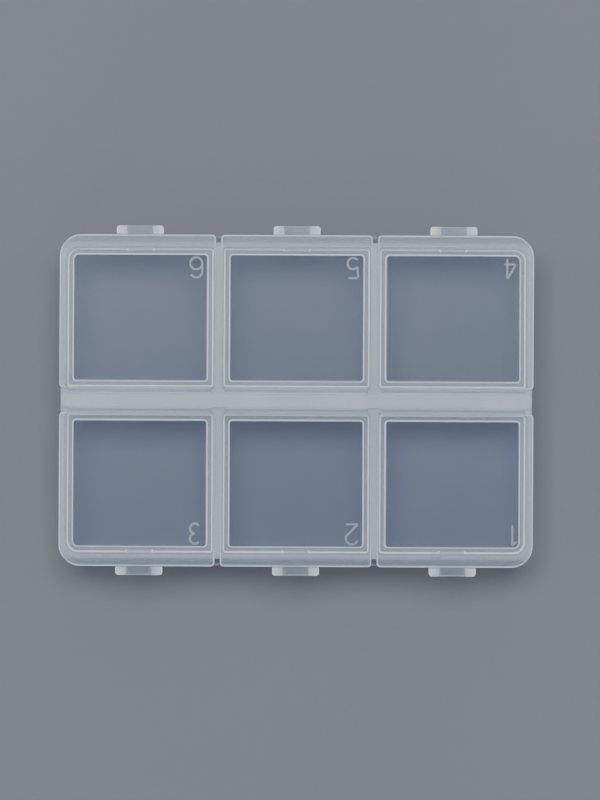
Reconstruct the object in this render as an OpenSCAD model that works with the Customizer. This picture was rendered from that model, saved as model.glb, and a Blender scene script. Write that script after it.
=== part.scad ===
// Flat frosted box with six compartments in two rows of three, each under its own flip lid.
// All lids hang on a spine along the middle (the X axis). Numbers read upright from the front, which is -Y.

/* [Compartments] */
// Inside length of one compartment, left to right
pocket_l = 27.9; // [20:0.1:40]
// Inside depth of one compartment, front to back
pocket_d = 26.5; // [20:0.1:40]
// Inner corner radius of a compartment
pocket_r = 0.9; // [0.8:0.1:2.5]
// Inner corner radius of a compartment at the corners of the box
pocket_outer_r = 2.5; // [1.8:0.1:4]

/* [Tray] */
// Height of the tray up to the rim that the lids rest on
tray_h = 16.8; // [10:0.1:35]
// Thickness of the floor
floor_t = 1; // [0.8:0.1:2]
// Wall between two compartments of a row
partition_t = 1.2; // [1.1:0.1:2]
// Wall at the left and right ends of the box
side_wall_t = 0.75; // [0.6:0.05:1.5]
// Wall of a compartment towards the long sides of the box
end_wall_t = 0.75; // [0.6:0.05:1.5]
// Width of the hollow between the end walls and the outer skirt
moat_w = 0.65; // [0.5:0.05:1.2]
// Thickness of the outer skirt along the long sides
skirt_t = 0.5; // [0.4:0.05:1]
// Thickness of the two walls under the hinge films
centre_wall_t = 0.9; // [0.6:0.05:1.5]
// Width of the hollow under the bridge between those two walls
channel_w = 2.56; // [2.4:0.02:5]
// Thickness of the bridge that carries the spine
bridge_t = 1; // [0.8:0.1:2]
// How far the skirt is drawn in under each thumb tab
scoop_depth = 0.3; // [0.1:0.05:0.35]
// How much wider than the thumb tab that drawn in stretch is
scoop_extra = 1; // [0:0.1:3]

/* [Spine] */
// Width of the spine between the hinge films
spine_w = 2.6; // [2.4:0.1:5]
// How far each end of the spine stays inside the lids' outline
spine_inset = 0.3; // [0.3:0.05:1]
// Radius of the pegs that hold the spine in the bridge
peg_r = 0.8; // [0.5:0.05:1]
// How far the pegs reach below the bridge
peg_tail = 1.2; // [0.5:0.1:3]
// Clearance round each peg in its hole
peg_clearance = 0.05; // [0.01:0.01:0.1]

/* [Hinge films] */
// Width of the gap that a hinge film spans
hinge_gap = 1; // [0.8:0.05:1.5]
// Thickness of a hinge film
film_t = 0.3; // [0.2:0.05:0.4]
// Depth of the film below the top of the lids
film_drop = 0.15; // [0.05:0.05:0.15]
// How much shorter than its compartment a hinge film is
film_short = 1.3; // [1:0.1:6]

/* [Lids] */
// Thickness of the lids and the spine
plate_t = 1.2; // [0.9:0.05:1.6]
// Gap between neighbouring lids
lid_gap = 1; // [0.5:0.1:1.2]
// How far the lids stand out over the tray
lid_overhang = 0.2; // [0:0.05:0.3]
// Corner radius of the box
corner_r = 4; // [3:0.1:6]
// Radius of the other lid corners
lid_corner_r = 0.7; // [0.2:0.1:1]
// Clearance between a plug ring and its compartment
ring_clearance = 0.33; // [0.3:0.01:0.5]
// Wall thickness of a plug ring
ring_t = 1.25; // [0.8:0.05:1.6]
// Depth of a plug ring below its lid
ring_h = 2.6; // [1.8:0.1:2.6]
// Inner corner radius of a plug ring
ring_inner_r = 0.5; // [0.2:0.1:1.5]

/* [Catch] */
// Length of the catch bead at the front of a plug ring
bead_l = 5.4; // [3:0.1:8]
// Radius of the catch bead
bead_r = 0.35; // [0.25:0.05:0.4]
// How far the bead stands out of the plug ring
bead_reach = 0.15; // [0.05:0.01:0.16]
// Height of the bead's middle above the lower edge of the plug ring
bead_rise = 0.7; // [0.5:0.1:1]
// Depth of the groove in the end wall that the bead faces
groove_depth = 0.15; // [0.05:0.05:0.3]

/* [Thumb tabs] */
// Width of a thumb tab
tab_w = 8.65; // [6:0.05:14]
// How far a thumb tab stands out of its lid
tab_reach = 1.65; // [1.2:0.05:3]
// Thickness of a thumb tab
tab_t = 0.8; // [0.6:0.05:0.9]
// Depth of the dish in the middle of the tab
dish_depth = 0.3; // [0.1:0.05:0.3]
// Width of each thick lug at the ends of a tab
lug_w = 1.9; // [1:0.1:2.4]
// How far the lugs hang below the top of the lid
lug_h = 2.4; // [1.4:0.1:4]
// Gap between the lugs and the tray's skirt
lug_gap = 0.4; // [0.3:0.05:0.6]
// Corner radius of a tab
tab_r = 0.5; // [0.2:0.1:0.8]

/* [Numbers] */
// Height of a raised number
digit_h = 4.2; // [3:0.1:8]
// Width of a raised number
digit_w = 2.7; // [2:0.1:5]
// Width of a number's stroke
digit_stroke = 0.45; // [0.3:0.05:0.8]
// How far a number stands above its lid
digit_raise = 0.12; // [0.05:0.01:0.3]
// Distance of a number from the plug ring's left side
digit_side = 0.6; // [0.1:0.1:3]
// Distance of a number from the plug ring's outer side
digit_end = 0.3; // [0.1:0.1:3]

/* [Hidden] */
$fn = 64;
// Past each cut's faces, so that it goes right through
past = 0.5;
columns = 3;
pitch = pocket_l + partition_t;
// Y of the side of a compartment next to the middle, of its centre and of its outer side
pocket_y0 = channel_w / 2 + centre_wall_t;
pocket_yc = pocket_y0 + pocket_d / 2;
pocket_y1 = pocket_y0 + pocket_d;
pockets_l = columns * pocket_l + (columns - 1) * partition_t;
tray_l = pockets_l + 2 * side_wall_t;
moat_y0 = pocket_y1 + end_wall_t;
moat_y1 = moat_y0 + moat_w;
tray_y1 = moat_y1 + skirt_t;
tray_r = corner_r - lid_overhang;
lids_l = tray_l + 2 * lid_overhang;
lid_y0 = spine_w / 2 + hinge_gap;
lid_y1 = tray_y1 + lid_overhang;
top_z = tray_h + plate_t;
ring_l = pocket_l - 2 * ring_clearance;
ring_d = pocket_d - 2 * ring_clearance;
ring_y1 = pocket_y1 - ring_clearance;
bead_z = tray_h - ring_h + bead_rise;
tab_y1 = lid_y1 + tab_reach;
lug_y0 = tray_y1 + lug_gap;
// Radius of an arc that is this far in over this width
function arc_radius(width, depth) = (width * width / 4 + depth * depth) / (2 * depth);
scoop_r = arc_radius(tab_w + scoop_extra, scoop_depth);
dish_w = tab_w - 2 * lug_w;
dish_r = arc_radius(dish_w, dish_depth);
peg_x = [for (k = [-1.3, -0.35, 0.35, 1.3]) k * pitch];
frosted = [0.80, 0.84, 0.88];
frosted_lid = [0.84, 0.88, 0.92];
frosted_film = [0.74, 0.79, 0.84];

// Lid numbers run left to right, 1 to 3 at the back and 4 to 6 at the front
function column_of(n) = (n - 1) % columns - (columns - 1) / 2;
function at_back(n) = n <= columns;

// Rectangle from a to b with a radius for each corner, in the order front left, front right, back right, back left
module rounded(a, b, r) {
    polygon([
        [a.x + r[0], a.y], [b.x - r[1], a.y], [b.x, a.y + r[1]], [b.x, b.y - r[2]],
        [b.x - r[2], b.y], [a.x + r[3], b.y], [a.x, b.y - r[3]], [a.x, a.y + r[0]]
    ]);
    translate([a.x + r[0], a.y + r[0]]) circle(r[0]);
    translate([b.x - r[1], a.y + r[1]]) circle(r[1]);
    translate([b.x - r[2], b.y - r[2]]) circle(r[2]);
    translate([a.x + r[3], b.y - r[3]]) circle(r[3]);
}

// Corner radii of a shape in the back row: the box's own corner is the back one at an end column
function radii(column, inner, outer) = [
    inner,
    inner,
    column > 0 ? outer : inner,
    column < 0 ? outer : inner
];

// Puts its children in the back row, or mirrored in the front row
module in_row(back) {
    if (back) children();
    else mirror([0, 1, 0]) children();
}

// Cut for one compartment in the back row
module pocket(column) {
    translate([column * pitch, pocket_yc, floor_t])
        linear_extrude(tray_h)
            rounded([-pocket_l / 2, -pocket_d / 2], [pocket_l / 2, pocket_d / 2],
                radii(column, pocket_r, pocket_outer_r));
}

// Groove for the catch bead in the end wall of a compartment
module groove(column) {
    translate([column * pitch - bead_l / 2 - past, pocket_y1 + groove_depth - bead_r, bead_z])
        rotate([0, 90, 0])
            cylinder(r = bead_r, h = bead_l + 2 * past);
}

// Cut that draws the skirt in under the thumb tab
module scoop(column) {
    translate([column * pitch, tray_y1 - scoop_depth + scoop_r, -past])
        cylinder(r = scoop_r, h = tray_h + 2 * past, $fn = 128);
}

// Hollow between the end walls and the skirt of the back row, narrower behind each scoop
module moat() {
    half_l = tray_l / 2 - skirt_t;
    translate([0, 0, floor_t])
        linear_extrude(tray_h)
            difference() {
                intersection() {
                    rounded([-half_l, 0], [half_l, moat_y1], [0.1, 0.1, tray_r - skirt_t, tray_r - skirt_t]);
                    translate([-half_l, moat_y0]) square([2 * half_l, moat_w + past]);
                }
                for (column = [-1:1])
                    translate([column * pitch, tray_y1 - scoop_depth + scoop_r])
                        circle(scoop_r + skirt_t, $fn = 128);
            }
}

module tray() {
    color(frosted)
    difference() {
        linear_extrude(tray_h)
            rounded([-tray_l / 2, -tray_y1], [tray_l / 2, tray_y1], [tray_r, tray_r, tray_r, tray_r]);
        for (back = [true, false])
            in_row(back) {
                moat();
                for (column = [-1:1]) {
                    pocket(column);
                    groove(column);
                    scoop(column);
                }
            }
        translate([-pockets_l / 2, -channel_w / 2, -past])
            cube([pockets_l, channel_w, tray_h - bridge_t + past]);
        for (x = peg_x)
            translate([x, 0, tray_h - bridge_t - past])
                cylinder(r = peg_r + peg_clearance, h = bridge_t + 2 * past);
    }
}

module hinge_spine() {
    half_l = lids_l / 2 - spine_inset;
    color(frosted_lid) {
        translate([0, 0, tray_h])
            linear_extrude(plate_t)
                rounded([-half_l, -spine_w / 2], [half_l, spine_w / 2],
                    [lid_corner_r, lid_corner_r, lid_corner_r, lid_corner_r]);
        for (x = peg_x)
            translate([x, 0, tray_h - bridge_t - peg_tail])
                cylinder(r = peg_r, h = bridge_t + peg_tail + plate_t / 2);
    }
}

// Thin strip that bends between the spine and lid n
module hinge_film(n) {
    film_l = pocket_l - film_short;
    color(frosted_film)
    in_row(at_back(n))
        translate([column_of(n) * pitch - film_l / 2, spine_w / 2, top_z - film_drop - film_t])
            cube([film_l, hinge_gap, film_t]);
}

// Plate of a back row lid, from the hinge film to past the skirt
module lid_plate(column) {
    x0 = column < 0 ? -lids_l / 2 : column * pitch - pitch / 2 + lid_gap / 2;
    x1 = column > 0 ? lids_l / 2 : column * pitch + pitch / 2 - lid_gap / 2;
    translate([0, 0, tray_h])
        linear_extrude(plate_t)
            rounded([x0, lid_y0], [x1, lid_y1], radii(column, lid_corner_r, corner_r));
}

// Ring under a back row lid that plugs its compartment
module plug_ring(column) {
    inner_l = ring_l - 2 * ring_t;
    inner_d = ring_d - 2 * ring_t;
    outer_r = radii(column, pocket_r - ring_clearance, pocket_outer_r - ring_clearance);
    inner_r = radii(column, ring_inner_r, max(ring_inner_r, pocket_outer_r - ring_clearance - ring_t));
    translate([column * pitch, pocket_yc, tray_h - ring_h])
        linear_extrude(ring_h + plate_t / 2)
            difference() {
                rounded([-ring_l / 2, -ring_d / 2], [ring_l / 2, ring_d / 2], outer_r);
                rounded([-inner_l / 2, -inner_d / 2], [inner_l / 2, inner_d / 2], inner_r);
            }
    translate([column * pitch - bead_l / 2, ring_y1 + bead_reach - bead_r, bead_z])
        rotate([0, 90, 0])
            cylinder(r = bead_r, h = bead_l);
}

// Thumb tab of a back row lid: a thin dished plate with a lug at each end
module thumb_tab(column) {
    translate([column * pitch, 0, 0])
        difference() {
            union() {
                translate([0, 0, top_z - tab_t])
                    linear_extrude(tab_t)
                        tab_outline(lid_y1 - past);
                translate([0, 0, top_z - lug_h])
                    linear_extrude(lug_h)
                        difference() {
                            tab_outline(lug_y0);
                            translate([-dish_w / 2, lug_y0 - past])
                                square([dish_w, tab_y1 - lug_y0 + 2 * past]);
                        }
            }
            translate([0, lid_y1, top_z - dish_depth + dish_r])
                rotate([-90, 0, 0])
                    cylinder(r = dish_r, h = tab_reach + past, $fn = 128);
        }
}

// Outline of a thumb tab from y0 to its outer edge
module tab_outline(y0) {
    rounded([-tab_w / 2, y0], [tab_w / 2, tab_y1], [0.1, 0.1, tab_r, tab_r]);
}

// Straight stroke of a number, from p to q with round ends
module bar(p, q) {
    run = q - p;
    translate(p)
        rotate(atan2(run.y, run.x))
            translate([0, -digit_stroke / 2])
                square([norm(run), digit_stroke]);
    translate(p) circle(digit_stroke / 2);
    translate(q) circle(digit_stroke / 2);
}

// Curved stroke of a number round c, from angle a0 anticlockwise to a1, with round ends
module curve(c, r, a0, a1) {
    steps = ceil((a1 - a0) / 45);
    reach = 2 * (r + digit_stroke);
    translate(c) {
        intersection() {
            difference() {
                circle(r + digit_stroke / 2);
                circle(r - digit_stroke / 2);
            }
            polygon([
                [0, 0],
                for (k = [0:steps]) let (a = a0 + (a1 - a0) * k / steps) reach * [cos(a), sin(a)]
            ]);
        }
        for (a = [a0, a1])
            translate(r * [cos(a), sin(a)]) circle(digit_stroke / 2);
    }
}

// Number n as strokes, with the middle of its lowest left stroke end at the origin
module digit(n) {
    w = digit_w - digit_stroke;
    h = digit_h - digit_stroke;
    bowl = w / 2;
    low = min(w, h) * 0.46;
    if (n == 1) {
        bar([0.2 * w, 0], [0.2 * w, h]);
        bar([0.2 * w, h], [-0.15 * w, 0.82 * h]);
    }
    if (n == 2) {
        curve([bowl, h - bowl], bowl, -20, 165);
        bar([bowl + bowl * cos(20), h - bowl - bowl * sin(20)], [0, 0]);
        bar([0, 0], [w, 0]);
    }
    if (n == 3) {
        curve([bowl, h - h / 4], h / 4, -90, 145);
        curve([bowl, h / 4], h / 4, -145, 90);
    }
    if (n == 4) {
        bar([0.72 * w, 0], [0.72 * w, h]);
        bar([0.72 * w, h], [0, 0.28 * h]);
        bar([0, 0.28 * h], [w, 0.28 * h]);
    }
    if (n == 5) {
        bar([0.1 * w, h], [0.92 * w, h]);
        bar([0.1 * w, h], [bowl + low * cos(140), low + low * sin(140)]);
        curve([bowl, low], low, -145, 140);
    }
    if (n == 6) {
        curve([bowl, bowl], bowl, 0, 180);
        curve([bowl, bowl], bowl, 180, 360);
        bar([0, bowl], [0, h - bowl]);
        curve([bowl, h - bowl], bowl, 25, 180);
    }
}

// Number n raised on its lid, at the outer left corner inside the plug ring
module raised_digit(n) {
    inner_x = column_of(n) * pitch - ring_l / 2 + ring_t;
    inner_y = pocket_yc + ring_d / 2 - ring_t;
    x = inner_x + digit_side + digit_stroke / 2;
    y = at_back(n) ? inner_y - digit_end - digit_h : digit_end - inner_y;
    translate([x, y + digit_stroke / 2, top_z - plate_t / 2])
        linear_extrude(plate_t / 2 + digit_raise)
            digit(n);
}

module lid(n) {
    color(frosted_lid) {
        in_row(at_back(n)) {
            lid_plate(column_of(n));
            plug_ring(column_of(n));
            thumb_tab(column_of(n));
        }
        raised_digit(n);
    }
}

tray();
hinge_spine();
hinge_film(1);  // hinge_film_1
hinge_film(2);  // hinge_film_2
hinge_film(3);  // hinge_film_3
hinge_film(4);  // hinge_film_4
hinge_film(5);  // hinge_film_5
hinge_film(6);  // hinge_film_6
lid(1);  // lid_1
lid(2);  // lid_2
lid(3);  // lid_3
lid(4);  // lid_4
lid(5);  // lid_5
lid(6);  // lid_6
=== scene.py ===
import math
import bmesh
import bpy
import numpy as np
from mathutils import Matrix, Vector, geometry


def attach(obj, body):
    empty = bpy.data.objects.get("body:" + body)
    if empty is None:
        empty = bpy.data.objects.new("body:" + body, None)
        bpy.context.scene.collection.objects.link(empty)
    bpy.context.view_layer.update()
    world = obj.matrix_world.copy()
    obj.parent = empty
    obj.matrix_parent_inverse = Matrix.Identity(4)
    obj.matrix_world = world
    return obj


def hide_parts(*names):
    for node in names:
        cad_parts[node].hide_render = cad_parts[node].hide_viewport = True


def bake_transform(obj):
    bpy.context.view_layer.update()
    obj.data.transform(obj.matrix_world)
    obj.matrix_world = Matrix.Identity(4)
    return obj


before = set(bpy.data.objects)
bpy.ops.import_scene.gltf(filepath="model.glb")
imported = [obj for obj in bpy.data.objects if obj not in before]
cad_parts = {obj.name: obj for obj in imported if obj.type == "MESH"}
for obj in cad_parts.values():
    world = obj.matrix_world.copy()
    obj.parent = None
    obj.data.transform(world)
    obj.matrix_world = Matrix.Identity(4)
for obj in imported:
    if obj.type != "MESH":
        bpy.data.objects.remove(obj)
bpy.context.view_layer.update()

# A frosted box: a tray with six compartments, and a lid sheet of a spine, six hinge films and six lids.
# Every surface is worked out in millimetres on the solids' own sizes and turned into metres in make_piece.
# Each point also has a haze, from 0 for clear sheet to 1 for edges that look milky, which the finish reads.
# The milkiest points also carry painted highlights along rounded edges, and haze lowered beside the moats
# paints shade there.

MM = 0.001
COLUMNS = (-1, 0, 1)

# Tray
POCKET_L = 27.9
POCKET_D = 26.5
POCKET_R = 0.9
POCKET_BOX_R = 2.5
TRAY_H = 16.8
FLOOR_T = 1.0
PARTITION_T = 1.2
SIDE_WALL_T = 0.75
END_WALL_T = 0.75
MOAT_W = 0.65
SKIRT_T = 0.5
CENTRE_WALL_T = 0.9
CHANNEL_W = 2.56
BRIDGE_T = 1.0
SCOOP_DEPTH = 0.3
SCOOP_EXTRA = 1.0

# Spine and hinge films
SPINE_W = 2.6
SPINE_INSET = 0.3
PEG_R = 0.8
PEG_TAIL = 1.2
PEG_CLEARANCE = 0.05
HINGE_GAP = 1.0
FILM_T = 0.3
FILM_DROP = 0.15
FILM_SHORT = 1.3

# Lids
PLATE_T = 1.2
LID_GAP = 1.0
LID_OVERHANG = 0.2
CORNER_R = 4.0
LID_CORNER_R = 0.7
RING_CLEARANCE = 0.33
RING_T = 1.25
RING_H = 2.6
RING_INNER_R = 0.5
BEAD_L = 5.4
BEAD_R = 0.35
BEAD_REACH = 0.15
BEAD_RISE = 0.7
TAB_W = 8.65
TAB_REACH = 1.65
TAB_T = 0.8
DISH_DEPTH = 0.3
LUG_W = 1.9
LUG_H = 2.4
LUG_GAP = 0.4
TAB_R = 0.5
DIGIT_H = 4.2
DIGIT_W = 2.7
DIGIT_STROKE = 0.45
DIGIT_RAISE = 0.12
DIGIT_SIDE = 0.6
DIGIT_END = 0.3

# Worked out from them, as in the solids
PITCH = POCKET_L + PARTITION_T
POCKET_Y0 = CHANNEL_W / 2 + CENTRE_WALL_T
POCKET_YC = POCKET_Y0 + POCKET_D / 2
POCKET_Y1 = POCKET_Y0 + POCKET_D
POCKETS_L = 3 * POCKET_L + 2 * PARTITION_T
TRAY_L = POCKETS_L + 2 * SIDE_WALL_T
MOAT_Y0 = POCKET_Y1 + END_WALL_T
MOAT_Y1 = MOAT_Y0 + MOAT_W
TRAY_Y1 = MOAT_Y1 + SKIRT_T
TRAY_R = CORNER_R - LID_OVERHANG
LIDS_L = TRAY_L + 2 * LID_OVERHANG
LID_Y0 = SPINE_W / 2 + HINGE_GAP
LID_Y1 = TRAY_Y1 + LID_OVERHANG
TOP_Z = TRAY_H + PLATE_T
RING_L = POCKET_L - 2 * RING_CLEARANCE
RING_D = POCKET_D - 2 * RING_CLEARANCE
RING_Y1 = POCKET_Y1 - RING_CLEARANCE
BEAD_Z = TRAY_H - RING_H + BEAD_RISE
TAB_Y1 = LID_Y1 + TAB_REACH
LUG_Y0 = TRAY_Y1 + LUG_GAP
FILM_Z = TOP_Z - FILM_DROP - FILM_T / 2
PEG_X = [share * PITCH for share in (-1.3, -0.35, 0.35, 1.3)]

# Small roundings and drafts of the mouldings, which the solids leave sharp
FOOT_R = 0.35
RIM_R = 0.15
DRAFT = 0.15
FLOOR_R = 1.0
PLATE_R = 0.28
RING_R = 0.26
ROOT_R = 0.2
LOW_EDGE_R = 0.1
MOAT_R = 0.1
MOUTH_R = 0.12
PEG_TIP_R = 0.3
TAB_EDGE_R = 0.2

# Edges that meet at a larger angle than this many degrees are shaded sharp
SHARP_DEGREES = 32

# Flat strip beside a rounding, over which the haze goes over to the face's own
MARGIN = 0.12

# How far each end of a moat stops short of the point where its two sides would meet
MOAT_SHORT = 0.12

# Haze of the tray's floor and walls, of the lids' windows and borders, and of the flat foot of their rings
CLEAR = 0.12
WALL = 0.27
WINDOW = 0.15
BORDER = 0.24
BAND = 0.25

# Haze of small features
MOAT_WALL = 0.14
POCKET_RIM = 0.52
MOAT_RIM = 0.42
PLATE_SIDE = 0.3
WINDOW_EDGE = 0.22
TAB_SHEET = 0.22
BEAD_BODY = 0.4
# The bead's ends are made milkiest, a painted glint at each end of the catch bead.
BEAD_END_GLINT = 1.0
NUMBER = 0.26
FILM_NECK = 0.19
FILM_ROOT = 0.28

# Painted shade along the moats: share of its haze that the tray's rim keeps beside a moat, and that a lid's
# border loses over one, so that both look darker there
RIM_SHADE_BESIDE_MOAT = 0.5
BORDER_SHADE_OVER_MOAT = 0.13

# Haze along a surface, one value for each row of its points
SKIRT_HAZE = [CLEAR, 0.3, 0.4, 0.35, 0.3, WALL, WALL, WALL, WALL, 0.5, 0.5, 0.42]
HOLLOW_HAZE = [CLEAR, 0.3, 0.4, 0.4, 0.5]
BORE_HAZE = [0.5, 0.7]
SPINE_HAZE = [0.3, 0.3, 0.3, 0.35, 0.42, 0.44, 0.38, 0.36, 0.36]
PEG_HAZE = [0.5, 0.6, 0.6, 0.5, 0.3]
# The ring's rounded foot is made milkiest, which paints light highlight lines along both edges of the ring.
RING_FOOT_HAZE_AND_HIGHLIGHT = [0.4, 0.85, 1.0, 1.0, 0.85]
RING_ROOT_HAZE = [0.3, 0.3, 0.2, 0.1]

# Haze of a lid's upper edge, row by row, and how much more it has where that edge is the edge of the box,
# which is a painted highlight along the box's outer edge
LID_EDGE_HAZE_AND_HIGHLIGHT = [(0.3, 0), (0.4, 0.2), (0.46, 0.34), (0.42, 0.2), (0.3, 0)]

# Colours: what clear sheet and hazy sheet scatter, the milky white of thick edges, which is partly a painted
# highlight, and the floor between its two greys
WINDOW_TINT = (0.095, 0.152, 0.275, 1)
SHEET_TINT = (0.44, 0.505, 0.605, 1)
MILKY_EDGE_HIGHLIGHT = (0.83, 0.90, 1.0, 1)
FLOOR_DARK = (0.106, 0.115, 0.134, 1)
FLOOR_LIGHT = (0.115, 0.125, 0.145, 1)

# Haze at which the tint goes over from clear to hazy sheet, and from there to the milky edge white with its
# painted highlight, and how fast
HAZY_FROM = 0.19
HAZY_RATE = 16
MILKY_HIGHLIGHT_FROM = 0.5
MILKY_HIGHLIGHT_RATE = 2.4


def arc_radius(width, depth):
    """Radius of the circle whose arc is so deep over so wide a chord."""
    return (width * width / 4 + depth * depth) / (2 * depth)


def arc_depth(across, width, depth):
    """How far that arc lies in at a distance across from its middle, and nothing past its ends."""
    radius = arc_radius(width, depth)
    reach = np.sqrt(np.maximum(radius * radius - across * across, 0))
    return np.maximum(reach - (radius - depth), 0)


def ease(value, low, high):
    """Smooth step from 0 at low to 1 at high: 3 t squared less 2 t cubed."""
    t = np.clip((value - low) / (high - low), 0, 1)
    return t * t * (3 - 2 * t)


def quarter(radius, steps):
    """Rounding of an edge: how far in from the side and how far below the top, from side to top.
    In is r (1 - cos a) and below is r (1 - sin a), as a goes through a quarter turn."""
    a = np.linspace(0, math.pi / 2, steps + 1)
    return radius * (1 - np.cos(a)), radius * (1 - np.sin(a))


def rounded_loop(low, high, radii, inset=0.0, corner=8, sides=(2, 2, 2, 2)):
    """Closed loop of a rectangle with four corner radii, anticlockwise from the front left corner.
    Each corner is a quarter circle in equal steps and each side a straight run of so many points between."""
    radius = np.maximum(np.asarray(radii, float) - inset, 0.06)
    x0, y0, x1, y1 = low[0] + inset, low[1] + inset, high[0] - inset, high[1] - inset
    middle = np.array([[x0, y0], [x1, y0], [x1, y1], [x0, y1]], float)
    middle += radius[:, None] * np.array([[1, 1], [-1, 1], [-1, -1], [1, -1]])
    turn = math.pi + np.arange(4)[:, None] * math.pi / 2 + np.linspace(0, math.pi / 2, corner + 1)
    arcs = middle[:, None] + radius[:, None, None] * np.stack([np.cos(turn), np.sin(turn)], axis=2)
    runs = []
    for k, count in enumerate(sides):
        along = np.linspace(0, 1, count + 2)[1:-1, None]
        runs += [arcs[k], arcs[k][-1] * (1 - along) + arcs[(k + 1) % 4][0] * along]
    return np.vstack(runs)


class Moulding:
    """Surfaces of one moulded piece: points in millimetres with a haze each, and faces as rows of numbers."""

    def __init__(self):
        self.points = np.empty((0, 3))
        self.haze = np.empty(0)
        self.faces = []

    def add(self, points, haze):
        """Adds a grid of points and gives the grid of their numbers."""
        first = len(self.points)
        self.points = np.vstack([self.points, points.reshape(-1, 3)])
        self.haze = np.append(self.haze, np.broadcast_to(haze, points.shape[:-1]).ravel())
        return first + np.arange(points[..., 0].size).reshape(points.shape[:-1])

    def skin(self, rows, closed=True):
        """Four-sided faces between neighbouring rows of numbers, each row a closed loop or an open run."""
        after = np.roll(rows, -1, axis=1)
        quads = np.stack([rows[:-1], after[:-1], after[1:], rows[1:]], axis=-1)
        if not closed:
            quads = quads[:, :-1]
        self.faces += quads.reshape(-1, 4).tolist()

    def loft(self, loops, heights, haze):
        """Wall through closed loops of as many points each, with a height and a haze for each loop, the haze
        as one value or one for every point. Gives the rows of numbers."""
        loops = np.stack(loops)
        heights = np.broadcast_to(np.asarray(heights, float)[:, None, None], loops.shape[:2] + (1,))
        haze = np.stack([np.broadcast_to(milk, loops.shape[1]) for milk in haze])
        rows = self.add(np.concatenate([loops, heights], axis=2), haze)
        self.skin(rows)
        return rows

    def cap(self, row):
        """Flat face inside one loop."""
        self.faces.append([int(number) for number in row])

    def flat(self, rows):
        """Flat level face inside the first loop and outside the others.
        It keeps each triangle between them whose centre lies inside an odd number of loops."""
        numbers = np.concatenate(rows)
        start = np.cumsum([0] + [len(row) for row in rows])
        spans = [np.arange(a, b) for a, b in zip(start[:-1], start[1:])]
        edges = np.concatenate([np.stack([span, np.roll(span, -1)], axis=1) for span in spans])
        place = self.points[numbers, :2]
        found = geometry.delaunay_2d_cdt([Vector(p) for p in place.tolist()], edges.tolist(), [], 0, 1e-7)
        origin = np.array([source[0] for source in found[3]])
        triangles = numbers[origin[np.array(found[2])]]
        centre = self.points[triangles, :2].mean(axis=1)
        a, b = place[edges[:, 0]], place[edges[:, 1]]
        level = (a[:, 1] > centre[:, 1:]) != (b[:, 1] > centre[:, 1:])
        rise = np.where(b[:, 1] == a[:, 1], 1, b[:, 1] - a[:, 1])
        cross = a[:, 0] + (centre[:, 1:] - a[:, 1]) * (b[:, 0] - a[:, 0]) / rise
        inside = (level & (centre[:, :1] < cross)).sum(axis=1) % 2 == 1
        self.faces += triangles[inside].tolist()

    def pillow(self, top, bottom, haze_top, haze_bottom):
        """Closed solid between two grids of points, with walls between their borders."""
        upper = self.add(top, haze_top)
        lower = self.add(bottom, haze_bottom)
        self.skin(upper.T, closed=False)
        self.skin(lower.T, closed=False)
        border = [np.concatenate([g[0], g[1:, -1], g[-1, -2::-1], g[-2:0:-1, 0]]) for g in (upper, lower)]
        self.skin(np.stack(border))

    def stroke(self, path, height, half_w, half_h, haze, end_glint=None):
        """Rounded bead along a level path: an ellipse carried along it that shrinks to a point at both ends.
        At a distance s from an end the ellipse is scaled by the root of 1 - (1 - s / half_w) squared."""
        path = np.asarray(path, float)
        length = np.append(0, np.cumsum(np.linalg.norm(np.diff(path, axis=0), axis=1)))
        end = half_w * (1 - np.cos(np.linspace(0, math.pi / 2, 6)))
        count = max(2, int((length[-1] - 2 * half_w) / 0.12))
        middle = np.linspace(half_w, length[-1] - half_w, count)[1:-1]
        at = np.concatenate([end, middle, length[-1] - end[::-1]])
        line = np.stack([np.interp(at, length, path[:, k]) for k in (0, 1)], axis=1)
        slope = np.gradient(line, axis=0)
        slope /= np.linalg.norm(slope, axis=1)[:, None]
        size = np.sqrt(np.clip(1 - np.clip(1 - np.minimum(at, length[-1] - at) / half_w, 0, 1) ** 2, 1e-6, 1))
        turn = np.linspace(0, 2 * math.pi, 10, endpoint=False)
        sideways = np.stack([-slope[:, 1], slope[:, 0]], axis=1)
        side = (size[:, None] * np.cos(turn) * half_w)[..., None] * sideways[:, None]
        rise = height + size[:, None] * np.sin(turn) * half_h
        milk = np.full((len(at), 1), haze)
        # The end rows may have their own haze; on the catch bead that paints a glint at its ends.
        if end_glint is not None:
            milk[:6] = milk[-6:] = end_glint
        rows = self.add(np.concatenate([line[:, None] + side, rise[..., None]], axis=2), milk)
        self.skin(rows)
        self.cap(rows[0])
        self.cap(rows[-1])


def stand_upright(mesh):
    """Straightens the shading beside level faces: where a point touches one, its nearly upright normals
    become upright, so that flat sheet looks flat up to the rounding of its edge."""
    corners = len(mesh.loops)
    normal = np.empty(corners * 3, np.float32)
    mesh.corner_normals.foreach_get("vector", normal)
    normal = normal.reshape(-1, 3)
    point = np.empty(corners, np.int32)
    mesh.loops.foreach_get("vertex_index", point)
    face_normal = np.empty(len(mesh.polygons) * 3, np.float32)
    mesh.polygon_normals.foreach_get("vector", face_normal)
    sides = np.empty(len(mesh.polygons), np.int32)
    mesh.polygons.foreach_get("loop_total", sides)
    level = np.repeat(np.abs(face_normal[2::3]) > 0.9999, sides)
    touches = np.zeros(len(mesh.vertices), bool)
    touches[point[level]] = True
    upright = touches[point] & (np.abs(normal[:, 2]) > 0.85)
    normal[upright] = np.sign(normal[upright, 2:]) * np.array([0, 0, 1], np.float32)
    mesh.normals_split_custom_set(normal.tolist())


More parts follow.
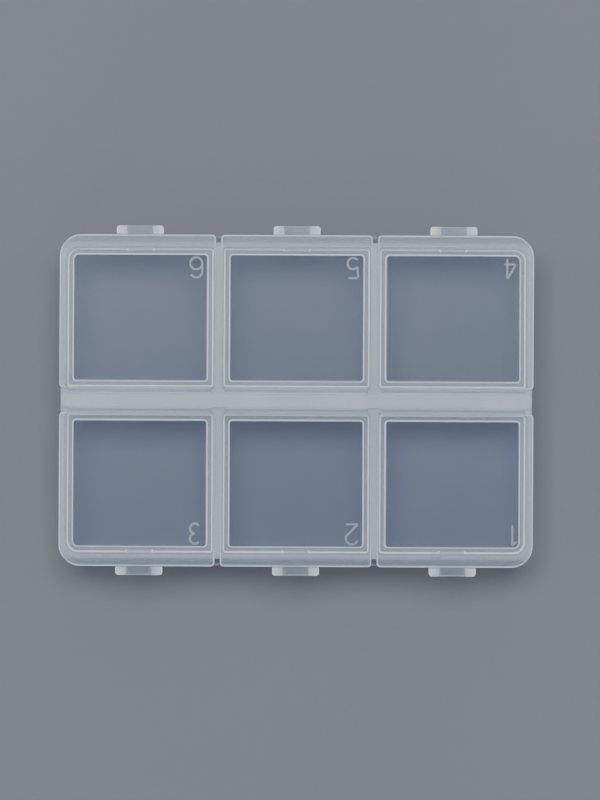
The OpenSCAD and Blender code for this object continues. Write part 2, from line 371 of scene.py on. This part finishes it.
def make_piece(name, moulding, finish):
    """One object from a moulding: doubles merged, faces turned outwards, points in metres, and the haze kept
    as an attribute for the finish."""
    mesh = bpy.data.meshes.new(name)
    mesh.from_pydata((moulding.points * MM).tolist(), [], moulding.faces)
    mesh.attributes.new("haze", "FLOAT", "POINT").data.foreach_set("value", moulding.haze.astype(np.float32))
    shape = bmesh.new()
    shape.from_mesh(mesh)
    bmesh.ops.remove_doubles(shape, verts=shape.verts, dist=2e-6)
    bmesh.ops.dissolve_degenerate(shape, edges=shape.edges, dist=1e-7)
    bmesh.ops.recalc_face_normals(shape, faces=shape.faces)
    open_edges = sum(not edge.is_manifold for edge in shape.edges)
    shape.to_mesh(mesh)
    shape.free()
    if open_edges:
        print(name, "has", open_edges, "open edges")
    mesh.polygons.foreach_set("use_smooth", np.ones(len(mesh.polygons), bool))
    mesh.set_sharp_from_angle(angle=math.radians(SHARP_DEGREES))
    stand_upright(mesh)
    mesh.materials.append(finish)
    piece = bpy.data.objects.new(name, mesh)
    bpy.context.scene.collection.objects.link(piece)
    return piece


# Tray

def front_or_back(loop, back):
    """The loop of a back row feature, or the same mirrored for the front row."""
    return loop if back else loop * np.array([1, -1])


def corner_radii(column, inner, outer):
    """Radii in the back row: the box's own corner is the back one at an end column."""
    return [inner, inner, outer if column > 0 else inner, outer if column < 0 else inner]


def scoop(across):
    """How far the skirt is drawn in under a thumb tab, at a distance across from the tab's middle."""
    return arc_depth(across, TAB_W + SCOOP_EXTRA, SCOOP_DEPTH)


def tray_outline(inset):
    """Outer wall of the tray, drawn in by a shallow arc under each thumb tab."""
    loop = rounded_loop(
        [-TRAY_L / 2, -TRAY_Y1], [TRAY_L / 2, TRAY_Y1], [TRAY_R] * 4, inset, corner=10, sides=(150, 6, 150, 6)
    )
    drawn = sum(scoop(loop[:, 0] - column * PITCH) for column in COLUMNS)
    on_side = np.abs(loop[:, 1]) > TRAY_Y1 - inset - 0.01
    loop[:, 1] -= np.sign(loop[:, 1]) * drawn * on_side
    return loop


def pocket_outline(column, back, inset):
    """One compartment at a distance inside its wall."""
    loop = rounded_loop(
        [column * PITCH - POCKET_L / 2, POCKET_Y0],
        [column * PITCH + POCKET_L / 2, POCKET_Y1],
        corner_radii(column, POCKET_R, POCKET_BOX_R),
        inset,
    )
    return front_or_back(loop, back)


def moat_outline(back, inset):
    """Narrow hollow behind the skirt: it follows the skirt's inside round the corners and past each scoop."""
    radius = TRAY_R - SKIRT_T
    centre_x = TRAY_L / 2 - SKIRT_T - radius
    end = centre_x + math.sqrt(radius ** 2 - (radius - MOAT_W) ** 2) - MOAT_SHORT - inset
    x = np.linspace(-end, end, 220)
    past = np.clip(np.abs(x) - centre_x, 0, radius)
    outer = MOAT_Y1 - radius + np.sqrt(radius ** 2 - past ** 2)
    for column in COLUMNS:
        outer = np.minimum(outer, TRAY_Y1 - SKIRT_T - scoop(x - column * PITCH))
    inner = np.full_like(x, MOAT_Y0 + inset)
    outer = np.maximum(outer - inset, inner + 0.06)
    loop = np.concatenate([np.stack([x, inner], 1), np.stack([x, outer], 1)[::-1]])
    return front_or_back(loop, back)


def hole(moulding, outline, depth_z, floor_r, wall_haze, floor_haze, rim_haze):
    """Pocket from the rim down: rounded rim, wall that leans in by the draft, rounded edge and flat floor.
    Gives its row of points in the rim's plane."""
    into, below = quarter(RIM_R, 3)
    lip_in, lip_z = -into[::-1], TRAY_H - below[::-1]
    foot_in, foot_up = quarter(floor_r, 5)
    height = TRAY_H - RIM_R - depth_z - floor_r
    insets = np.concatenate([lip_in, [0.01, DRAFT - 0.01], DRAFT + foot_in, [DRAFT + 1.15 * floor_r]])
    wall_z = TRAY_H - RIM_R - np.array([0.15, height - 0.15])
    heights = np.concatenate([lip_z, wall_z, depth_z + foot_up, [depth_z]])
    haze = np.concatenate([np.full(4, rim_haze), [wall_haze, wall_haze], np.full(7, floor_haze)])
    haze[3] = (rim_haze + wall_haze) / 2
    haze[6] = (wall_haze + floor_haze) / 2
    rows = moulding.loft([outline(inset) for inset in insets], heights, haze)
    moulding.cap(rows[-1])
    return rows[0]


def make_tray(finish):
    """The tray as one closed skin: outer wall, six pockets, two moats, and the hollow under the bridge."""
    tray = Moulding()
    foot_in, foot_up = quarter(FOOT_R, 5)
    rim_in, rim_below = quarter(RIM_R, 3)
    insets = np.concatenate([DRAFT + foot_in[::-1], [DRAFT, 0], rim_in])
    heights = np.concatenate([foot_up[::-1], [FOOT_R + 0.15, TRAY_H - RIM_R - 0.15], TRAY_H - rim_below])
    outer = tray.loft([tray_outline(inset) for inset in insets], heights, SKIRT_HAZE)
    rims = [outer[-1]]
    for back in (True, False):
        for column in COLUMNS:
            rims.append(hole(
                tray, lambda inset: pocket_outline(column, back, inset),
                FLOOR_T, FLOOR_R, WALL, CLEAR, POCKET_RIM,
            ))
        rims.append(hole(
            tray, lambda inset: moat_outline(back, min(inset, MOAT_R)),
            FLOOR_T, MOAT_R, MOAT_WALL, CLEAR, MOAT_RIM,
        ))
    half_l, half_w = POCKETS_L / 2, CHANNEL_W / 2
    ceiling = TRAY_H - BRIDGE_T
    mouth_in, mouth_up = quarter(MOUTH_R, 3)
    insets = np.append(-mouth_in[::-1], 0.05)
    heights = np.append(mouth_up[::-1], ceiling)
    channel = tray.loft(
        [rounded_loop([-half_l, -half_w], [half_l, half_w], [0.4] * 4, inset) for inset in insets],
        heights, HOLLOW_HAZE,
    )
    tray.flat([outer[0], channel[0]])
    turn = np.linspace(0, 2 * math.pi, 32, endpoint=False)
    bores = []
    for x in PEG_X:
        circle = (PEG_R + PEG_CLEARANCE) * np.stack([np.cos(turn), np.sin(turn)], 1) + [x, 0]
        bore = tray.loft([circle, circle], [ceiling, TRAY_H], BORE_HAZE)
        bores.append(bore[0])
        rims.append(bore[1])
    tray.flat([channel[-1]] + bores)
    tray.flat(rims)
    # Painted shade: the rims of the skirt and moats keep only part of their haze, so they look darker beside
    # the moats.
    outside = np.abs(tray.points[:, 1]) > MOAT_Y0 - 0.05
    on_rim = tray.points[:, 2] > TRAY_H - RIM_R - 0.01
    tray.haze[outside & on_rim] *= RIM_SHADE_BESIDE_MOAT
    piece = make_piece("frosted_tray", tray, finish)
    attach(piece, "root")
    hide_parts("tray")


# Lid sheet

def make_spine(finish):
    """The spine, a bar with rounded edges, and its four round pegs, which go down through the bridge."""
    spine = Moulding()
    half_l = LIDS_L / 2 - SPINE_INSET
    low_in, low_up = quarter(LOW_EDGE_R, 2)
    top_in, top_below = quarter(PLATE_R, 4)
    insets = np.concatenate([low_in[::-1], top_in, [PLATE_R + MARGIN]])
    heights = np.concatenate([TRAY_H + low_up[::-1], TOP_Z - top_below, [TOP_Z]])
    low, high = [-half_l, -SPINE_W / 2], [half_l, SPINE_W / 2]
    loops = [rounded_loop(low, high, [LID_CORNER_R] * 4, inset) for inset in insets]
    rows = spine.loft(loops, heights, SPINE_HAZE)
    spine.cap(rows[0])
    spine.cap(rows[-1])
    turn = np.linspace(0, 2 * math.pi, 32, endpoint=False)
    tip_in, tip_up = quarter(PEG_TIP_R, 3)
    tip = TRAY_H - BRIDGE_T - PEG_TAIL
    radii = np.concatenate([PEG_R - tip_in[::-1], [PEG_R]])
    heights = np.concatenate([tip + tip_up[::-1], [TRAY_H + 0.6]])
    for x in PEG_X:
        loops = [radius * np.stack([np.cos(turn), np.sin(turn)], 1) + [x, 0] for radius in radii]
        rows = spine.loft(loops, heights, PEG_HAZE)
        spine.cap(rows[0])
        spine.cap(rows[-1])
    piece = make_piece("lid_sheet_spine", spine, finish)
    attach(piece, "root")
    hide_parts("hinge_spine")


def column_of(n):
    """Column -1, 0 or 1 of lid n, counted left to right in both rows."""
    return (n - 1) % 3 - 1


def make_film(n, finish):
    """Living hinge of lid n: a thin strip between spine and lid, thinnest along its middle, carried along
    the row. As a goes from -90 to 90 degrees across it, half its thickness is 0.5 t (1 - 0.25 cos squared a).
    Both ends close on a line."""
    film = Moulding()
    tucked = 0.06
    across = np.linspace(SPINE_W / 2 - tucked, LID_Y0 + tucked, 17)
    part = (across - SPINE_W / 2 - HINGE_GAP / 2) / (HINGE_GAP / 2)
    neck = np.cos(np.clip(part, -1, 1) * math.pi / 2) ** 2
    half = FILM_T / 2 * (1 - 0.25 * neck)
    y = np.concatenate([across, across[::-1]])
    rise = np.concatenate([-half, half[::-1]])
    half_l = (POCKET_L - FILM_SHORT) / 2
    stations = np.array([-half_l, -half_l + 0.04, -half_l + 0.15, 0, half_l - 0.15, half_l - 0.04, half_l])
    thick = np.array([0, 0.7, 1, 1, 1, 0.7, 0])[:, None]
    back = 1 if n <= 3 else -1
    grid = np.stack(np.broadcast_arrays(
        column_of(n) * PITCH + stations[:, None], back * y[None], FILM_Z + thick * rise
    ), axis=2)
    milk = FILM_ROOT + (FILM_NECK - FILM_ROOT) * neck
    rows = film.add(grid, np.concatenate([milk, milk[::-1]])[None])
    film.skin(rows)
    piece = make_piece("living_hinge_%d" % n, film, finish)
    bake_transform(piece)
    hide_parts("hinge_film_%d" % n)


def lid_shell(lid, column):
    """Plate and plug ring of a back row lid as one closed skin, from the top face round the edge and down the
    ring. It is milkiest at the ring's rounded foot, which paints highlight lines there, and along the plate's
    edge where that is the edge of the box, which is a painted highlight too."""
    x0 = -LIDS_L / 2 if column < 0 else column * PITCH - PITCH / 2 + LID_GAP / 2
    x1 = LIDS_L / 2 if column > 0 else column * PITCH + PITCH / 2 - LID_GAP / 2
    inner_r = max(RING_INNER_R, POCKET_BOX_R - RING_CLEARANCE - RING_T)

    def plate(inset):
        return rounded_loop([x0, LID_Y0], [x1, LID_Y1], corner_radii(column, LID_CORNER_R, CORNER_R), inset)

    def ring_outside(inset):
        return rounded_loop(
            [column * PITCH - RING_L / 2, POCKET_YC - RING_D / 2],
            [column * PITCH + RING_L / 2, POCKET_YC + RING_D / 2],
            corner_radii(column, POCKET_R - RING_CLEARANCE, POCKET_BOX_R - RING_CLEARANCE), inset,
        )

    def ring_inside(inset):
        return rounded_loop(
            [column * PITCH - RING_L / 2 + RING_T, POCKET_YC - RING_D / 2 + RING_T],
            [column * PITCH + RING_L / 2 - RING_T, POCKET_YC + RING_D / 2 - RING_T],
            corner_radii(column, RING_INNER_R, inner_r), inset,
        )

    # Painted shade: the border's haze falls off towards the moat, so it looks darker over it.
    def shade_over_moat(loop):
        return 1 - BORDER_SHADE_OVER_MOAT * ease(loop[:, 1], RING_Y1 - 0.2, MOAT_Y0)

    # Painted highlight: share, from 0 to 1, by which the plate's edge is made milkier and lighter where it is
    # the outer edge of the box.
    def box_edge_highlight(loop):
        outwards = np.maximum(np.abs(loop[:, 0]) - LIDS_L / 2, loop[:, 1] - LID_Y1)
        return ease(outwards, -1.2, -0.4)

    loops, heights, haze = [], [], []

    def course(outline, insets, levels, milk):
        loops.extend(outline(inset) for inset in insets)
        heights.extend(levels)
        haze.extend(milk)

    edge_in, edge_below = quarter(PLATE_R, 4)
    low_in, low_up = quarter(LOW_EDGE_R, 2)
    root_in, root_below = quarter(ROOT_R, 3)
    tip_in, tip_up = quarter(RING_R, 4)
    low = TRAY_H - RING_H
    shoulder = PLATE_R + MARGIN
    foot = RING_R + 0.08
    strip = 0.25
    over_ring = BORDER * shade_over_moat(ring_outside(0))
    beyond_ring = BORDER * shade_over_moat(plate(shoulder))
    edge_highlight = box_edge_highlight(plate(0))
    course(ring_inside, [strip, 0], [TOP_Z] * 2, [WINDOW, WINDOW_EDGE])
    course(ring_outside, [0], [TOP_Z], [over_ring])
    course(plate, [shoulder], [TOP_Z], [beyond_ring])
    # Along the box's outer edge the plate's rounding gets more haze, a painted highlight.
    course(
        plate, edge_in[::-1], TOP_Z - edge_below[::-1],
        [share + more * edge_highlight for share, more in LID_EDGE_HAZE_AND_HIGHLIGHT],
    )
    course(plate, low_in, TRAY_H + low_up, [PLATE_SIDE, PLATE_SIDE, beyond_ring])
    course(ring_outside, -root_in[::-1], TRAY_H - root_below[::-1], [over_ring] + [PLATE_SIDE] * 3)
    # Rounded foot of the ring: milkiest, a painted highlight line along each edge.
    course(ring_outside, tip_in, low + tip_up, RING_FOOT_HAZE_AND_HIGHLIGHT)
    course(ring_outside, [foot], [low], [BAND])
    course(ring_inside, [-foot], [low], [BAND])
    course(ring_inside, -tip_in[::-1], low + tip_up[::-1], RING_FOOT_HAZE_AND_HIGHLIGHT[::-1])
    course(ring_inside, root_in, TRAY_H - root_below, RING_ROOT_HAZE)
    course(ring_inside, [ROOT_R + MARGIN], [TRAY_H], RING_ROOT_HAZE[-1:])
    rows = lid.loft(loops, heights, haze)
    lid.cap(rows[0])
    lid.cap(rows[-1])


def thumb_tab(lid, column):
    """Thumb tab of a back row lid: top and bottom as heights over one grid in plan.
    The top dips along an arc between the lugs, the bottom drops at each lug, and both turn in at the edge."""
    half = TAB_W / 2
    lug_x = half - LUG_W
    end = 0.6
    keep = half - end
    step_x, step_y = 0.08, 0.06
    x = np.unique(np.concatenate([
        np.linspace(0, lug_x - 0.1, 12),
        lug_x + np.linspace(-step_x, step_x, 5),
        np.linspace(lug_x + 0.12, keep, 5),
        half - end * np.cos(np.linspace(0, math.pi / 2, 8)),
    ]))
    x = np.concatenate([-x[:0:-1], x])
    y = np.unique(np.concatenate([
        [LID_Y1 - PLATE_R, LID_Y1],
        LUG_Y0 + np.linspace(-step_y, step_y, 4),
        np.linspace(LUG_Y0 + 0.12, TAB_Y1 - TAB_R, 5),
        TAB_Y1 - TAB_R * np.cos(np.linspace(0, math.pi / 2, 8)),
    ]))
    past = np.clip(y - (TAB_Y1 - TAB_R), 0, TAB_R)
    reach = half - (TAB_R - np.sqrt(TAB_R ** 2 - past ** 2))
    outer = np.maximum(np.abs(x)[:, None] - keep, 0)
    across = np.sign(x)[:, None] * (np.minimum(np.abs(x)[:, None], keep) + outer * (reach - keep)[None] / end)
    along = np.broadcast_to(y, across.shape)
    gap = np.minimum(np.minimum(reach[None] - np.abs(across), TAB_Y1 - along), TAB_EDGE_R)
    turned = TAB_EDGE_R - np.sqrt(np.maximum(TAB_EDGE_R ** 2 - (TAB_EDGE_R - gap) ** 2, 0))
    dish = arc_depth(across, 2 * lug_x, DISH_DEPTH)
    lug = ease(np.abs(across), lug_x - step_x, lug_x + step_x) * ease(along, LUG_Y0 - step_y, LUG_Y0 + step_y)
    top = TOP_Z - 0.005 - dish * ease(along, LID_Y1 - 0.02, LID_Y1 + 0.1) - turned
    bottom = TOP_Z - TAB_T - lug * (LUG_H - TAB_T) + turned
    outward = ease(np.abs(across), lug_x - 1.2, half)
    # Thicker lugs are milkier. The tab is also lighter towards its outer ends, and its rounded edge is made
    # milky as a painted highlight.
    milk = TAB_SHEET + lug * (0.15 + 0.14 * outward) + 0.1 * outward + 0.3 * (1 - gap / TAB_EDGE_R)
    grid = [np.stack([column * PITCH + across, along, height], axis=2) for height in (top, bottom)]
    lid.pillow(grid[0], grid[1], np.clip(milk, 0, 1), np.clip(milk * 0.85, 0, 1))


def arc_path(x, y, radius, start, end):
    """Points round a circle from one angle to another, in degrees."""
    turn = np.radians(np.linspace(start, end, 25))
    return np.stack([x + radius * np.cos(turn), y + radius * np.sin(turn)], axis=1)


def digit_paths(n):
    """Middle lines of number n, with its lowest left point at the origin."""
    w = DIGIT_W - DIGIT_STROKE
    h = DIGIT_H - DIGIT_STROKE
    bowl = w / 2
    low = min(w, h) * 0.46
    if n == 1:
        return [[[0.2 * w, 0], [0.2 * w, h]], [[0.2 * w, h], [-0.15 * w, 0.82 * h]]]
    if n == 2:
        turn = arc_path(bowl, h - bowl, bowl, 165, -20)
        return [np.vstack([turn, [[0, 0]]]), [[0, 0], [w, 0]]]
    if n == 3:
        return [arc_path(bowl, 0.75 * h, h / 4, 145, -90), arc_path(bowl, h / 4, h / 4, 90, -145)]
    if n == 4:
        upright, bar = 0.72 * w, 0.28 * h
        return [[[upright, 0], [upright, h]], [[upright, h], [0, bar]], [[0, bar], [w, bar]]]
    if n == 5:
        turn = arc_path(bowl, low, low, 140, -145)
        return [[[0.92 * w, h], [0.1 * w, h]], np.vstack([[[0.1 * w, h]], turn])]
    tail = arc_path(bowl, h - bowl, bowl, 25, 180)
    return [np.vstack([tail, [[0, bowl]]]), arc_path(bowl, bowl, bowl, 0, 360)]


def make_lid(n, finish):
    """Lid n: plate with plug ring, catch bead and thumb tab, mirrored in the front row, and raised number."""
    column = column_of(n)
    lid = Moulding()
    lid_shell(lid, column)
    thumb_tab(lid, column)
    bead_y = RING_Y1 + BEAD_REACH - BEAD_R
    bead = [[column * PITCH - BEAD_L / 2, bead_y], [column * PITCH + BEAD_L / 2, bead_y]]
    lid.stroke(bead, BEAD_Z, BEAD_R, BEAD_R, BEAD_BODY, end_glint=BEAD_END_GLINT)
    if n > 3:
        lid.points[:, 1] *= -1
    inner_x = column * PITCH - RING_L / 2 + RING_T
    inner_y = POCKET_YC + RING_D / 2 - RING_T
    x = inner_x + DIGIT_SIDE + DIGIT_STROKE / 2
    y = inner_y - DIGIT_END - DIGIT_H if n <= 3 else DIGIT_END - inner_y
    sunk = 0.04
    for path in digit_paths(n):
        place = np.asarray(path) + [x, y + DIGIT_STROKE / 2]
        lid.stroke(place, TOP_Z - sunk, DIGIT_STROKE / 2, DIGIT_RAISE + sunk, NUMBER)
    piece = make_piece("flip_lid_%d" % n, lid, finish)
    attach(piece, "lid_%d_body" % n)
    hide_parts("lid_%d" % n)


# Finishes

class Field:
    """One socket's value in a finish, so that shader maths reads as plain expressions."""

    def __init__(self, finish, socket):
        self.finish = finish
        self.socket = socket

    def math(self, operation, *values):
        made = self.finish.node("ShaderNodeMath", {"operation": operation}, dict(enumerate(values)))
        return Field(self.finish, made.outputs[0])

    def __add__(self, other):
        return self.math("ADD", self, other)

    def __sub__(self, other):
        return self.math("SUBTRACT", self, other)

    def __rsub__(self, other):
        return self.math("SUBTRACT", other, self)

    def __mul__(self, other):
        return self.math("MULTIPLY", self, other)

    def clamped(self, low, high):
        return self.math("MAXIMUM", self.math("MINIMUM", self, high), low)

    __radd__ = __add__
    __rmul__ = __mul__


class Finish:
    """A material's nodes."""

    def __init__(self, name):
        self.material = bpy.data.materials.new(name)
        self.material.use_nodes = True
        self.tree = self.material.node_tree
        self.tree.nodes.clear()

    def node(self, kind, settings=None, inputs=None):
        """One node: its settings first, then the values or links of its sockets, by name or number."""
        made = self.tree.nodes.new(kind)
        for key, value in (settings or {}).items():
            setattr(made, key, value)
        for key, value in (inputs or {}).items():
            if isinstance(value, Field):
                self.tree.links.new(value.socket, made.inputs[key])
            else:
                made.inputs[key].default_value = value
        return made

    def field(self, output, kind, settings=None, inputs=None):
        return Field(self, self.node(kind, settings, inputs).outputs[output])

    def noise(self, place, scale, detail, roughness=0.5):
        return self.field(0, "ShaderNodeTexNoise", {"noise_dimensions": "3D"}, {
            "Vector": place, "Scale": scale, "Detail": detail, "Roughness": roughness
        })

    def mixed(self, amount, first, second):
        """Colour between two colours."""
        made = self.node("ShaderNodeMix", {"data_type": "RGBA"}, {0: amount, 6: first, 7: second})
        return Field(self, made.outputs[2])


def frosted_plastic(name, gloss, grain):
    """Frosted polypropylene: how much it hides follows the haze of each point, with faint clouds in it. Thick
    edges are milkier than the sheet between them, and the milkiest, along roundings, are painted lighter as a
    painted highlight. Fine grain and slow waves make its soft sheen."""
    finish = Finish(name)
    place = finish.field("Object", "ShaderNodeTexCoord")
    haze = finish.field("Fac", "ShaderNodeAttribute", {"attribute_name": "haze"})
    clouds = finish.noise(place, 60, 3.0)
    specks = finish.noise(place, 1500, 2.0)
    grit = finish.noise(place, 5200, 2.0, 0.6)
    waves = finish.noise(place, 140, 1.0)
    hide = (haze * (0.9 + clouds * 0.16 + specks * 0.06)).clamped(0, 1)
    sheet = ((haze - HAZY_FROM) * HAZY_RATE).clamped(0, 1)
    # Painted highlight: the haziest points are tinted towards a light milky white, which stands for light
    # caught along rounded edges.
    edge = ((haze - MILKY_HIGHLIGHT_FROM) * MILKY_HIGHLIGHT_RATE + (clouds - 0.5) * 0.25).clamped(0, 1)
    colour = finish.mixed(edge, finish.mixed(sheet, WINDOW_TINT, SHEET_TINT), MILKY_EDGE_HIGHLIGHT)
    rough = gloss + (clouds - 0.5) * 0.1 + (specks - 0.5) * 0.08
    bump = finish.node("ShaderNodeBump", None, {
        "Strength": grain, "Distance": 0.00004, "Height": grit * 0.7 + waves * 0.8
    })
    plastic = finish.node("ShaderNodeBsdfPrincipled", None, {
        "Base Color": colour, "Roughness": rough, "Alpha": hide, "IOR": 1.49,
        "Subsurface Weight": 0.5, "Subsurface Radius": (1.0, 1.0, 1.0), "Subsurface Scale": 0.0012,
        "Normal": Field(finish, bump.outputs[0]),
    })
    surface = finish.node("ShaderNodeOutputMaterial")
    finish.tree.links.new(plastic.outputs[0], surface.inputs[0])
    return finish.material


# Studio, in metres and watts
FLOOR_REACH = 8.0
FLOOR_DROP = 0.00015
SURROUND = (0.86, 0.92, 1.0, 1)
SURROUND_STRENGTH = 0.14
LOW_BOXES = [("left", 1, 0, 30), ("right", -1, 0, 30), ("front", 0, -1, 15), ("back", 0, 1, 27)]
LOW_BOX_DISTANCE = 2.2
LOW_BOX_HEIGHT = 0.59
LOW_BOX_SIZE = (2.2, 0.73)


def studio_floor():
    """Plain pale floor. It lies a hair below the tray, so that no two faces coincide."""
    finish = Finish("pale_floor")
    place = finish.field("Object", "ShaderNodeTexCoord")
    cloud = finish.noise(place, 9, 2.0)
    tooth = finish.noise(place, 900, 2.0)
    colour = finish.mixed(cloud, FLOOR_DARK, FLOOR_LIGHT)
    bump = finish.node("ShaderNodeBump", None, {"Strength": 0.15, "Distance": 0.0001, "Height": tooth})
    board = finish.node("ShaderNodeBsdfPrincipled", None, {
        "Base Color": colour,
        "Roughness": 0.75 + (tooth - 0.5) * 0.1,
        "Normal": Field(finish, bump.outputs[0]),
    })
    surface = finish.node("ShaderNodeOutputMaterial")
    finish.tree.links.new(board.outputs[0], surface.inputs[0])
    mesh = bpy.data.meshes.new("floor")
    signs = [(-1, -1), (1, -1), (1, 1), (-1, 1)]
    corners = [(x * FLOOR_REACH, y * FLOOR_REACH, -FLOOR_DROP) for x, y in signs]
    mesh.from_pydata(corners, [], [(0, 1, 2, 3)])
    mesh.materials.append(finish.material)
    floor = bpy.data.objects.new("floor", mesh)
    bpy.context.scene.collection.objects.link(floor)


def soft_light(name, place, target, size, watts, colour=(1, 1, 1)):
    """A soft box at a place that faces a target, and that no camera sees."""
    lamp = bpy.data.lights.new(name, "AREA")
    lamp.shape = "RECTANGLE"
    lamp.size, lamp.size_y = size
    lamp.energy = watts
    lamp.color = colour
    holder = bpy.data.objects.new(name, lamp)
    holder.visible_camera = False
    holder.location = place
    holder.rotation_mode = "QUATERNION"
    holder.rotation_quaternion = (Vector(target) - Vector(place)).to_track_quat("-Z", "Y")
    bpy.context.scene.collection.objects.link(holder)


# Camera: straight above, with the front of the box at the top of the picture
CAMERA_HEIGHT = 0.8
PIXELS_PER_MM = 5.39
PICTURE_W, PICTURE_H = 600, 800
SENSOR = 36.0
CENTRE_X, CENTRE_Y = 296.3, 401.0
ROLL = 0.28


def make_camera():
    """Long lens over the box, so placed that its centre falls where the photograph has it."""
    lens = bpy.data.cameras.new("camera")
    lens.sensor_width = SENSOR
    lens.lens = PIXELS_PER_MM / MM * CAMERA_HEIGHT * SENSOR / PICTURE_H
    lens.clip_start, lens.clip_end = 0.01, 20
    holder = bpy.data.objects.new("camera", lens)
    offset_x = (CENTRE_X - PICTURE_W / 2) / PIXELS_PER_MM * MM
    offset_y = (PICTURE_H / 2 - CENTRE_Y) / PIXELS_PER_MM * MM
    holder.location = (offset_x, offset_y, TOP_Z * MM + CAMERA_HEIGHT)
    holder.rotation_euler = (0, 0, math.pi + math.radians(ROLL))
    bpy.context.scene.collection.objects.link(holder)
    bpy.context.scene.camera = holder


def make_light():
    """Large soft boxes: the main one above the front, a weak fill opposite and a low one on each side, all in
    an even surround."""
    world = bpy.data.worlds.new("surround")
    world.use_nodes = True
    world.node_tree.nodes["Background"].inputs[0].default_value = SURROUND
    world.node_tree.nodes["Background"].inputs[1].default_value = SURROUND_STRENGTH
    bpy.context.scene.world = world
    soft_light("main_softbox", (0.04, -0.25, 1.19), (0, 0, 0), (0.64, 0.36), 16.8)
    soft_light("fill_softbox", (-0.35, 0.5, 1.1), (0, 0, 0), (0.8, 0.8), 1.5, (0.93, 0.97, 1))
    for side, x, y, watts in LOW_BOXES:
        place = (LOW_BOX_DISTANCE * x, LOW_BOX_DISTANCE * y, LOW_BOX_HEIGHT)
        soft_light(side + "_softbox", place, (0, 0, 0.01), LOW_BOX_SIZE, watts)


tray_finish = frosted_plastic("frosted_tray_plastic", 0.42, 0.25)
lid_finish = frosted_plastic("frosted_lid_plastic", 0.34, 0.2)
film_finish = frosted_plastic("flexed_film_plastic", 0.38, 0.2)

make_tray(tray_finish)
make_spine(lid_finish)
for number in range(1, 7):
    make_film(number, film_finish)
    make_lid(number, lid_finish)

studio_floor()
make_light()
make_camera()
